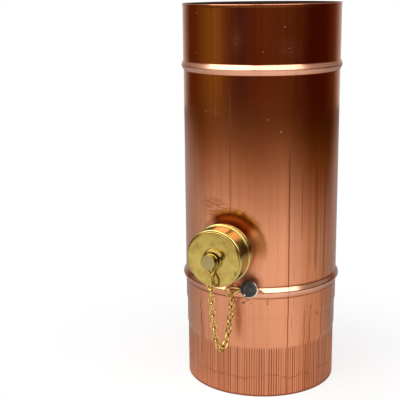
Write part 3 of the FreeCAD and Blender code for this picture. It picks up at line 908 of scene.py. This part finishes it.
def lower_end(paint, wall, colour):
    """The fluted end: painted shade over it and in its grooves, an uneven tide line, and a painted
    contact shadow along its lower rim.
    """
    fluted = paint.fade(wall.up, 31.5, 34.0)
    # Painted shade: the fluted end darker than the wall
    colour = paint.mix(paint.times(fluted, 0.4), colour, FLUTED_SHADE)
    wave = paint.math("COSINE", paint.times(wall.angle, float(FLUTES)))
    uneven = paint.span(wall.grain(0.45, 0.004, 2.0), 0.36, 0.58, 0.1, 1.0)
    # Painted shade in the flutes' grooves, weaker towards the left
    grooves = paint.times(paint.span(wave, 0.2, -0.8), uneven)
    grooves = paint.times(grooves, fluted)
    grooves = paint.times(grooves, paint.span(wall.across, -24.0, -8.0, 0.4, 1.0))
    colour = paint.mix(grooves, colour, GROOVE_SHADE)
    level = paint.less(wall.up, paint.times(wall.grain(0.06, 0.0, 2.0), 16.0))
    tide = paint.fade(paint.off(level, 5.0), 0.2, 0.9, 0.5)
    tide = paint.times(tide, paint.span(wall.grain(0.08, 0.08), 0.38, 0.55))
    colour = paint.mix(tide, colour, TIDE)
    # Painted contact shadow along the lower rim
    return paint.mix(paint.fade(wall.up, 0.4, 1.7, 0.85), colour, LOWER_RIM_SHADE)


def pale_marks(paint, wall):
    """Pale specks: a few single ones, and fine grit in the scuffed places."""
    single = paint.strongest(*[wall.spot(*speck) for speck in SPECKS])
    scuffed = paint.strongest(*[wall.spot(*scuff, 0.1) for scuff in SCUFFS])
    grit = paint.span(wall.grain(2.2, 1.7, 1.0), 0.58, 0.68)
    patchy = paint.span(wall.grain(0.5, 0.5), 0.36, 0.5, 0.2, 0.7)
    grit = paint.times(paint.times(grit, patchy), scuffed)
    return paint.times(paint.strongest(single, grit), 0.5)


def inside_mask(paint, wall):
    """The inside of the pipe, where the surface faces its axis."""
    facing = paint.place("Normal")
    axis = paint.vector("NORMALIZE", paint.vector("MULTIPLY", wall.place, (1.0, 1.0, 0.0)))
    return paint.fade(paint.vector("DOT_PRODUCT", facing, axis), -0.6, -0.2)


def copper_normal(paint, wall, stains_and_shadow, beaten):
    """Drawing lines, etched stain marks with the painted rivet shadow bumped alike, ripples beside the
    neck and dents round the rivet.
    """
    normal = paint.bump(wall.grain(1.4, 0.05, 2.0), 0.00002, 0.5)
    normal = paint.bump(stains_and_shadow, -0.0001, 0.4, normal)
    ripples = paint.times(wall.spot(-12.0, 121.0, 14.0, 9.0, 0.3), wall.grain(0.28, 0.85, 2.0))
    normal = paint.bump(ripples, 0.0004, 0.5, normal)
    dents = paint.times(beaten, wall.grain(0.5, 0.7, 2.0))
    return paint.bump(dents, 0.0003, 0.5, normal)


def copper_paint():
    """Bright drawn copper with its streaks, heat tint, stain and small marks, with painted shade and
    painted highlights among them.
    """
    material, paint = new_material("bright_copper")
    wall = Wall(paint)
    cloud = wall.grain(0.035, 0.035)
    colour = sheet_colour(paint, wall, cloud)
    colour, heated = heat_tint_and_shade(paint, wall, colour)
    stains_and_shadow = stain_and_shadow_mask(paint, wall)
    colour = paint.mix(stains_and_shadow, colour, STAIN_AND_SHADOW)
    # Painted shade on the lower bead's side by the cap, which is also kept from the painted highlight
    shaded_side = paint.fade(wall.across, 0.0, 10.0, 0.85)
    shaded_side = paint.times(shaded_side, paint.span(wall.across, -60.0, -40.0))
    colour = bead_foot_shade(paint, wall, cloud, shaded_side, colour)
    colour = grain_and_chain_shade(paint, wall, colour)
    colour = lower_end(paint, wall, colour)
    specks = pale_marks(paint, wall)
    colour = paint.mix(specks, colour, SPECK)
    beaten = wall.spot(RIVET_ACROSS, RIVET_Z + 1.5, 10.5, 9.5, 0.5)
    smeared = wall.spot(6.0, 50.0, 7.0, 24.0, 0.5)
    rough = paint.plus(cloud, 0.08, 0.11)
    dull_marks = ((stains_and_shadow, 0.2), (specks, 0.4), (heated, 0.34), (beaten, 0.22), (smeared, 0.22))
    for mask, amount in dull_marks:
        rough = paint.plus(mask, amount, rough)
    for bead, dull in ((LOW_BEAD, 0.03), (TOP_BEAD, 0.15)):
        off = paint.off(wall.up, bead.middle)
        rough = paint.math("ADD", rough, paint.fade(off, 2.0, 3.4, dull))
        # Painted highlight: the beads' crests paler, which whitens their highlights
        crest_highlight = paint.fade(off, 2.2, 3.4, 0.38)
        if bead is LOW_BEAD:
            crest_highlight = paint.times(crest_highlight, paint.less(1.0, shaded_side))
        colour = paint.mix(crest_highlight, colour, BEAD_HIGHLIGHT)
    within = inside_mask(paint, wall)
    # Painted shade: the inside just below the top edge nearly black, dull and less metallic
    mouth_shade = paint.times(within, paint.span(wall.up, 238.0, 243.0))
    colour = paint.mix(within, colour, INSIDE)
    colour = paint.mix(mouth_shade, colour, MOUTH_SHADE)
    rough = paint.plus(within, 0.3, rough)
    rough = paint.plus(mouth_shade, 0.5, rough)
    metal = paint.less(1.0, paint.times(specks, 0.6))
    metal = paint.plus(mouth_shade, -0.6, metal)
    paint.surface(colour, metal, rough, copper_normal(paint, wall, stains_and_shadow, beaten))
    return material


# Brass, rivet and washer

TURNED_BRASS = (0.54, 0.405, 0.11)
TURNED_DARK = (0.37, 0.26, 0.06)
TURNED_SIDE = (0.47, 0.42, 0.14)
WIRE_BRASS = (0.66, 0.47, 0.14)
WIRE_DARK = (0.44, 0.29, 0.07)
# Painted shade in corners and between pieces
CORNER_SHADE = (0.05, 0.03, 0.006)
STEM_SHADE = (0.20, 0.14, 0.03)
KNOB_FACE = (0.42, 0.35, 0.15)
CAP_MARK = (0.13, 0.09, 0.02)
CAP_MARK_PLACE = (0.0143, -0.0074, 0.0)
CAP_MARK_SIZE = (0.0011, 0.0027, 1.0)
DARK_PIT = (0.022, 0.024, 0.022)
GREY_HEAD = (0.12, 0.122, 0.115)
# Painted highlight on the rivet's edge and its glint, and the way it faces
EDGE_HIGHLIGHT = (0.90, 0.82, 0.68)
HIGHLIGHT_TOWARD = (0.87, -0.5, 0.0)
GLINT_PLACE = (-0.0028, -0.0036, 0.0)
RUBBER = (0.012, 0.012, 0.013)
RUBBER_PALE = (0.03, 0.03, 0.032)


def brass_paint(name, colour, dark, rough, side=None):
    """Turned or drawn brass with faint marks, painted shade where pieces meet, and a side in its own
    tone.
    """
    material, paint = new_material(name)
    place = paint.place()
    cloud = paint.noise(place, 160.0, 3.0, 0.6)
    tone = paint.mix(paint.span(cloud, 0.4, 0.75), colour, dark)
    smudge = paint.span(paint.noise(place, 60.0, 3.0, 0.6), 0.5, 0.7, 0.0, 0.45)
    tone = paint.mix(smudge, tone, dark)
    # Painted shade in corners and between pieces, taken from ambient occlusion
    shut = paint.node("ShaderNodeAmbientOcclusion", {"Distance": 1.5 * MM}, samples=8)
    occluded_shade = paint.fade(shut.outputs["AO"], 0.3, 0.85, 0.9)
    tone = paint.mix(occluded_shade, tone, CORNER_SHADE)
    x, y, z = paint.split(place)
    flat = paint.join(x, paint.less(z, OUTLET_Z * MM), 0.0)
    away = paint.vector("LENGTH", flat)
    rings = paint.noise(paint.join(paint.times(away, 2500.0), y, 0.0), 1.0, 2.0, 0.6)
    normal = paint.bump(rings, 0.00004, 0.4)
    # Painted shade round the foot of the knob's stem
    stem = paint.fade(y, -77.5 * MM, -75.5 * MM)
    stem = paint.times(paint.fade(away, 6.3 * MM, 7.3 * MM, 0.7), stem)
    tone = paint.mix(stem, tone, STEM_SHADE)
    knob = paint.fade(y, -83.0 * MM, -82.0 * MM)
    knob = paint.times(paint.fade(away, 4.0 * MM, 4.6 * MM), knob)
    tone = paint.mix(knob, tone, KNOB_FACE)
    roughness = paint.plus(cloud, 0.12, rough)
    roughness = paint.plus(knob, 0.2, roughness)
    if side:
        outer = paint.span(away, 17.2 * MM, 17.7 * MM)
        tone = paint.mix(outer, tone, side)
        mark = paint.vector("SUBTRACT", flat, CAP_MARK_PLACE)
        mark = paint.vector("LENGTH", paint.vector("DIVIDE", mark, CAP_MARK_SIZE))
        mark = paint.fade(mark, 0.3, 1.0, 0.7)
        mark = paint.times(mark, paint.fade(y, -75.5 * MM, -75.2 * MM))
        tone = paint.mix(mark, tone, CAP_MARK)
        roughness = paint.plus(outer, 0.04, roughness)
    paint.surface(tone, 1.0, roughness, normal)
    return material


def rivet_paint():
    """A dull grey head with a painted highlight on the lower right of its edge, and a painted glint."""
    material, paint = new_material("dull_rivet")
    place = paint.place()
    pits = paint.noise(place, 900.0, 4.0, 0.65)
    tone = paint.mix(paint.span(pits, 0.35, 0.7), DARK_PIT, GREY_HEAD)
    across = paint.vector("DOT_PRODUCT", place, tuple(RIVET_SIDE))
    rise = paint.less(paint.split(place)[2], RIVET_Z * MM)
    flat = paint.join(across, rise, 0.0)
    away = paint.vector("LENGTH", flat)
    # Painted highlight on the edge's side towards the light, and a painted glint
    toward_light = paint.vector("DOT_PRODUCT", paint.vector("NORMALIZE", flat), HIGHLIGHT_TOWARD)
    edge = paint.times(paint.span(away, 4.7 * MM, 5.1 * MM), paint.span(toward_light, 0.0, 0.4))
    glint = paint.vector("LENGTH", paint.vector("SUBTRACT", flat, GLINT_PLACE))
    edge = paint.strongest(edge, paint.fade(glint, 0.2 * MM, 0.9 * MM, 0.8))
    tone = paint.mix(edge, tone, EDGE_HIGHLIGHT)
    rough = paint.plus(edge, -0.28, paint.span(pits, 0.3, 0.7, 0.5, 0.38))
    paint.surface(tone, 0.9, rough, paint.bump(pits, 0.00025, 0.6))
    return material


def rubber_paint():
    """Matt black rubber."""
    material, paint = new_material("black_washer")
    cloud = paint.noise(paint.place(), 500.0, 3.0, 0.6)
    tone = paint.mix(cloud, RUBBER, RUBBER_PALE)
    paint.surface(tone, 0.0, 0.65, paint.bump(cloud, 0.0001, 0.5))
    return material


# Camera, in millimetres of sensor and lens, degrees and metres

VIEW_AZIMUTH = 21.9
SENSOR = 36.0
LENS = 81.62
PAN = math.radians(-3.95)
TILT = math.radians(13.32)
ROLL = math.radians(-0.64)
CAMERA_PLACE = (0.0, -0.5867, 0.2569)


def place_camera():
    """The photograph's view, panned, tilted and rolled a little from the object's front."""
    data = bpy.data.cameras.new("camera")
    data.sensor_width = SENSOR
    data.lens = LENS
    camera = add_object("camera", data)
    upright = Vector((0.0, 0.0, 1.0))
    level = Vector((math.sin(PAN), math.cos(PAN), 0.0))
    side = Vector((math.cos(PAN), -math.sin(PAN), 0.0))
    forward = level * math.cos(TILT) - upright * math.sin(TILT)
    top = level * math.sin(TILT) + upright * math.cos(TILT)
    right = side * math.cos(ROLL) + top * math.sin(ROLL)
    above = top * math.cos(ROLL) - side * math.sin(ROLL)
    turn = Matrix.Rotation(math.radians(VIEW_AZIMUTH), 4, "Z")
    facing = Matrix((right, above, -forward)).transposed().to_4x4()
    camera.matrix_world = turn @ Matrix.Translation(CAMERA_PLACE) @ facing
    bpy.context.scene.camera = camera


# Floor: directions from the front in degrees, its tone there with painted light in it, and how far it
# stays bright

FLOOR = (
    (-180, 0.46, 3.0), (-150, 0.42, 2.4), (-121, 0.46, 1.85), (-96, 0.57, 1.3), (-74, 0.68, 1.2),
    (-50, 0.76, 1.1), (-27, 0.80, 1.0), (0, 0.82, 0.97), (31, 0.95, 1.04), (57, 0.83, 0.94),
    (84, 0.84, 0.95), (118, 0.57, 1.12), (150, 0.43, 2.2), (180, 0.46, 3.0),
)

# The share of its tone that the floor keeps with distance, a painted falloff of the lamps' light
FLOOR_FADE = (
    (0.0, 1.0), (0.34, 1.0), (0.516, 0.74), (0.594, 0.58), (0.72, 0.42), (0.886, 0.26), (1.1, 0.14),
    (1.3, 0.13),
)

# Its tone in the middle, its painted brightening towards the back, and where and how it turns warm
FLOOR_MIDDLE = 0.8
BACK_GAIN = 0.7
WARM_START = 0.44
WARM_LENGTH = 0.6
GREEN_LOSS = 0.5
BLUE_LOSS = 0.93

# Its size and height in metres, and its mesh
FLOOR_REACH = 1.25
FLOOR_BACK = 1.4
FLOOR_Z = -0.0002
FLOOR_COLUMNS = 72
FLOOR_RINGS = 24

WHITE = (1.0, 1.0, 1.0, 1.0)
PALE_GREY = (0.9, 0.9, 0.9, 1.0)


def between(rows, place):
    """The values of a table of rows at a place between its first column's."""
    for start, finish in zip(rows, rows[1:]):
        if start[0] <= place <= finish[0]:
            share = (place - start[0]) / (finish[0] - start[0])
            return [a + (b - a) * share for a, b in zip(start[1:], finish[1:])]
    return list(rows[-1][1:])


def floor_colour(tone, distance, angle):
    """White paper near the object, with painted light that fades to a warm dim room, warmest at the
    sides.
    """
    shade = tone * between(FLOOR_FADE, distance)[0]
    side = ease((abs(angle) - 60) / 40) * (1 - ease((abs(angle) - 118) / 20))
    warm = clamp((distance - WARM_START) / WARM_LENGTH * (1 + side))
    return (shade, shade * (1 - GREEN_LOSS * warm), shade * (1 - BLUE_LOSS * warm), 1.0)


def camera_sees(paint):
    """A mask of the rays by which the camera sees a thing itself."""
    path = paint.node("ShaderNodeLightPath")
    return paint.strongest(path.outputs["Is Camera Ray"], path.outputs["Is Transmission Ray"])


def floor_paint():
    """White to the camera with a faint shade near the object, and its tone with painted light in it to
    all else.
    """
    material, paint = new_material("white_floor")
    white = paint.node("ShaderNodeEmission", {"Color": WHITE, "Strength": 1.0})
    pale = paint.node("ShaderNodeBsdfDiffuse", {"Color": PALE_GREY})
    faint = paint.fade(paint.vector("LENGTH", paint.place()), 0.06, 0.2, 0.22)
    shaded = paint.blend(faint, white, pale)
    tone = paint.node("ShaderNodeAttribute", attribute_name="tone").outputs["Color"]
    dull = paint.node("ShaderNodeBsdfDiffuse", {"Color": tone})
    paint.finish("ShaderNodeOutputMaterial", paint.blend(camera_sees(paint), dull, shaded))
    return material


def make_floor():
    """A white sheet that fades towards its edge, longest behind the object."""
    vertices = [Vector((0.0, 0.0, FLOOR_Z))]
    colours = [floor_colour(FLOOR_MIDDLE, 0.0, 0.0)]
    for ring in range(1, FLOOR_RINGS + 1):
        for column in range(FLOOR_COLUMNS):
            angle = -180 + 360 * column / FLOOR_COLUMNS
            tone, spread_out = between(FLOOR, angle)
            reach = min(FLOOR_REACH * spread_out, FLOOR_BACK) * ring / FLOOR_RINGS
            tone *= 1 + ease((abs(angle) - 105) / 45) * reach * BACK_GAIN
            vertices.append(round_point(reach, math.radians(angle + VIEW_AZIMUTH), FLOOR_Z))
            colours.append(floor_colour(tone, reach / spread_out, angle))
    faces = [(0, 1 + number, 1 + (number + 1) % FLOOR_COLUMNS) for number in range(FLOOR_COLUMNS)]
    faces += grid_faces(FLOOR_RINGS, FLOOR_COLUMNS, 1)
    mesh = bpy.data.meshes.new("floor")
    mesh.from_pydata(vertices, [], faces)
    painted = mesh.attributes.new("tone", "FLOAT_COLOR", "POINT")
    painted.data.foreach_set("color", [value for colour in colours for value in colour])
    mesh.materials.append(floor_paint())
    floor = add_object("floor", mesh)


# Room: its colours round the object, with 0.5 towards the front, and higher up

ROOM_STOPS = (
    (0.00, (0.20, 0.09, 0.03)),
    (0.10, (0.16, 0.05, 0.008)),
    (0.14, (0.11, 0.022, 0.002)),
    (0.21, (0.16, 0.055, 0.006)),
    (0.26, (0.25, 0.14, 0.02)),
    (0.31, (0.29, 0.175, 0.028)),
    (0.335, (0.23, 0.12, 0.016)),
    (0.352, (0.17, 0.075, 0.008)),
    (0.378, (0.10, 0.022, 0.002)),
    (0.43, (0.065, 0.008, 0.001)),
    (0.50, (0.145, 0.038, 0.003)),
    (0.62, (0.12, 0.038, 0.008)),
    (0.70, (0.07, 0.010, 0.001)),
    (0.79, (0.075, 0.010, 0.001)),
    (0.83, (0.14, 0.045, 0.009)),
    (0.885, (0.18, 0.075, 0.02)),
    (1.00, (0.20, 0.09, 0.03)),
)
ROOM_WALL = (0.45, 0.42, 0.39)
ROOM_CEILING = (0.12, 0.09, 0.07)


def round_share(paint, toward):
    """Which way a point lies, from 0 to 1 round the object, with 0.5 towards the front."""
    inputs = {"Vector": toward, "Angle": math.radians(-VIEW_AZIMUTH)}
    turned = paint.node("ShaderNodeVectorRotate", inputs, rotation_type="Z_AXIS")
    parts = paint.split(turned.outputs[0])
    angle = paint.turn_from_front(parts[0], parts[1])
    return paint.math("ADD", paint.math("DIVIDE", angle, 2 * math.pi), 0.5)


def make_world():
    """A dim warm room, with a white backdrop for the camera and white behind and above in the metal."""
    world = bpy.data.worlds.new("room")
    bpy.context.scene.world = world
    paint = Paint(world)
    toward = paint.place("Generated")
    around = round_share(paint, toward)
    height = paint.split(toward)[2]
    ramp = paint.node("ShaderNodeValToRGB", {0: around})
    set_stops(ramp.color_ramp.elements, ROOM_STOPS)
    room = paint.mix(paint.span(height, 0.12, 0.35), ramp.outputs[0], ROOM_WALL)
    room = paint.mix(paint.span(height, 0.72, 0.9), room, ROOM_CEILING)
    light = paint.node("ShaderNodeBackground", {"Color": room, "Strength": 1.0})
    white = paint.node("ShaderNodeBackground", {"Color": WHITE, "Strength": 1.0})
    mirrored = paint.node("ShaderNodeLightPath").outputs["Is Glossy Ray"]
    behind = paint.times(paint.span(paint.off(around, 0.5), 0.34, 0.46, 0.0, 0.62), mirrored)
    over = paint.times(paint.span(height, 0.5, 0.75, 0.0, 0.8), mirrored)
    seen = paint.strongest(camera_sees(paint), behind, over)
    paint.finish("ShaderNodeOutputWorld", paint.blend(seen, light, white))


def set_stops(elements, stops):
    """Writes the colours of a ramp in order."""
    while len(elements) > 1:
        elements.remove(elements[-1])
    elements[0].position = stops[0][0]
    elements[0].color = solid(stops[0][1])
    for position, colour in stops[1:]:
        elements.new(position).color = solid(colour)


# Lamps: name, place and size in metres, watts; and the height that they face
LAMPS = (
    ("left_softbox", (-0.69, -0.58, 0.85), (1.3, 1.0), 14.5),
    ("front_softbox", (0.44, -0.78, 0.85), (1.15, 0.8), 8.0),
)
LAMP_AIM = 0.12


def add_lamp(name, place, size, watts):
    """A soft oblong lamp that faces the object, placed as the camera sees it."""
    data = bpy.data.lights.new(name, "AREA")
    data.shape = "RECTANGLE"
    data.size = size[0]
    data.size_y = size[1]
    data.energy = watts
    lamp = add_object(name, data)
    lamp.location = Matrix.Rotation(math.radians(VIEW_AZIMUTH), 3, "Z") @ Vector(place)
    aim = Vector((0.0, 0.0, LAMP_AIM)) - lamp.location
    lamp.rotation_euler = aim.to_track_quat("-Z", "Y").to_euler()


def paint_node(name, material):
    """Paints a CAD node that is shown as it is."""
    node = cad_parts[name]
    node.data.materials.clear()
    node.data.materials.append(material)


def main():
    """The pieces, then the camera, the floor and the light."""
    copper = copper_paint()
    turned = brass_paint("turned_brass", TURNED_BRASS, TURNED_DARK, 0.10, TURNED_SIDE)
    wire = brass_paint("brass_wire", WIRE_BRASS, WIRE_DARK, 0.15)
    make_pipe(copper)
    make_spigot(copper)
    make_cap(turned)
    make_nipple(turned)
    make_rivet(rivet_paint())
    make_wire("cap_loop", "cap_swivel", wire, LOOP_WIRE, LOOP_GROWTH)
    make_wire("wall_loop", "diverter", wire, LOOP_WIRE, LOOP_GROWTH)
    for number in range(1, LINKS + 1):
        body = "chain_upper" if number <= UPPER_LINKS else "chain_lower"
        make_wire("chain_link_%02d" % number, body, wire, LINK_WIRE, LINK_GROWTH)
    paint_node("collector_trough", copper)
    paint_node("cap_gasket", rubber_paint())
    bpy.context.scene.view_settings.view_transform = "Standard"
    place_camera()
    make_floor()
    make_world()
    for lamp in LAMPS:
        add_lamp(*lamp)


main()
